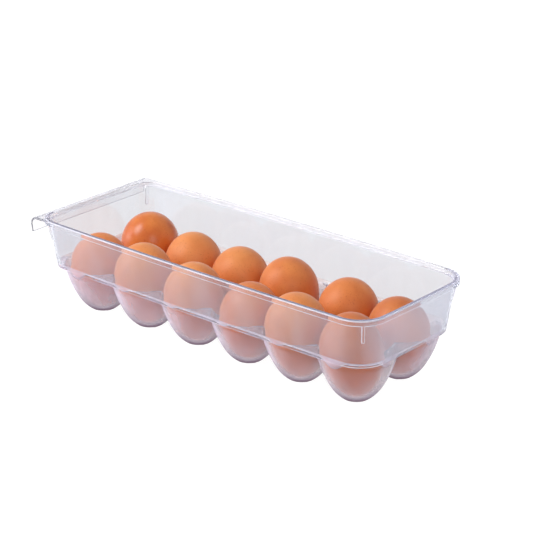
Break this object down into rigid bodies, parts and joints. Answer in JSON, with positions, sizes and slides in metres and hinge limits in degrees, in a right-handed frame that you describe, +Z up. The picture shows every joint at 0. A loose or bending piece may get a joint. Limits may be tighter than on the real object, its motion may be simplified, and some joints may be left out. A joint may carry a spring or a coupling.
{
  "type": "egg holder tray",
  "caption": "Clear open bin with a deck of egg-shaped cups in two rows, a rim flange, a rolled pull lip at one end and loose eggs.",
  "frame": {"origin": "floor under the cup feet, under the middle of the whole length and width", "axes": "+X along the tray away from the pull lip, +Y across it, +Z up"},
  "size_m": [0.3258, 0.127, 0.0756],
  "materials": {
    "clear_plastic": "clear, smooth injection-moulded",
    "egg_shell": "brown hen's egg shell, satin with fine pores"
  },
  "bodies": {
    "tray": {"corner_back_far": "clear_plastic", "corner_back_lip": "clear_plastic", "corner_front_far": "clear_plastic", "corner_front_lip": "clear_plastic", "cup_back_1": "clear_plastic", "cup_back_2": "clear_plastic", "cup_back_3": "clear_plastic", "cup_back_4": "clear_plastic", "cup_back_5": "clear_plastic", "cup_back_6": "clear_plastic", "cup_front_1": "clear_plastic", "cup_front_2": "clear_plastic", "cup_front_3": "clear_plastic", "cup_front_4": "clear_plastic", "cup_front_5": "clear_plastic", "cup_front_6": "clear_plastic", "nesting_rib_back_far": "clear_plastic", "nesting_rib_back_lip": "clear_plastic", "nesting_rib_front_far": "clear_plastic", "nesting_rib_front_lip": "clear_plastic", "pull_lip": "clear_plastic", "wall_back": "clear_plastic", "wall_far_end": "clear_plastic", "wall_front": "clear_plastic", "wall_lip_end": "clear_plastic"},
    "egg_back_1_body": {"egg_back_1": "egg_shell"},
    "egg_back_2_body": {"egg_back_2": "egg_shell"},
    "egg_back_3_body": {"egg_back_3": "egg_shell"},
    "egg_back_4_body": {"egg_back_4": "egg_shell"},
    "egg_back_5_body": {"egg_back_5": "egg_shell"},
    "egg_back_6_body": {"egg_back_6": "egg_shell"},
    "egg_front_1_body": {"egg_front_1": "egg_shell"},
    "egg_front_2_body": {"egg_front_2": "egg_shell"},
    "egg_front_3_body": {"egg_front_3": "egg_shell"},
    "egg_front_4_body": {"egg_front_4": "egg_shell"},
    "egg_front_5_body": {"egg_front_5": "egg_shell"},
    "egg_front_6_body": {"egg_front_6": "egg_shell"}
  },
  "joints": [
    {"name": "egg_back_1_lift", "type": "slide", "parent": "tray", "child": "egg_back_1_body", "axis": [0, 0, 1], "range_m": [0, 0.1]},
    {"name": "egg_back_2_lift", "type": "slide", "parent": "tray", "child": "egg_back_2_body", "axis": [0, 0, 1], "range_m": [0, 0.1]},
    {"name": "egg_back_3_lift", "type": "slide", "parent": "tray", "child": "egg_back_3_body", "axis": [0, 0, 1], "range_m": [0, 0.1]},
    {"name": "egg_back_4_lift", "type": "slide", "parent": "tray", "child": "egg_back_4_body", "axis": [0, 0, 1], "range_m": [0, 0.1]},
    {"name": "egg_back_5_lift", "type": "slide", "parent": "tray", "child": "egg_back_5_body", "axis": [0, 0, 1], "range_m": [0, 0.1]},
    {"name": "egg_back_6_lift", "type": "slide", "parent": "tray", "child": "egg_back_6_body", "axis": [0, 0, 1], "range_m": [0, 0.1]},
    {"name": "egg_front_1_lift", "type": "slide", "parent": "tray", "child": "egg_front_1_body", "axis": [0, 0, 1], "range_m": [0, 0.1]},
    {"name": "egg_front_2_lift", "type": "slide", "parent": "tray", "child": "egg_front_2_body", "axis": [0, 0, 1], "range_m": [0, 0.1]},
    {"name": "egg_front_3_lift", "type": "slide", "parent": "tray", "child": "egg_front_3_body", "axis": [0, 0, 1], "range_m": [0, 0.1]},
    {"name": "egg_front_4_lift", "type": "slide", "parent": "tray", "child": "egg_front_4_body", "axis": [0, 0, 1], "range_m": [0, 0.1]},
    {"name": "egg_front_5_lift", "type": "slide", "parent": "tray", "child": "egg_front_5_body", "axis": [0, 0, 1], "range_m": [0, 0.1]},
    {"name": "egg_front_6_lift", "type": "slide", "parent": "tray", "child": "egg_front_6_body", "axis": [0, 0, 1], "range_m": [0, 0.1]}
  ]
}
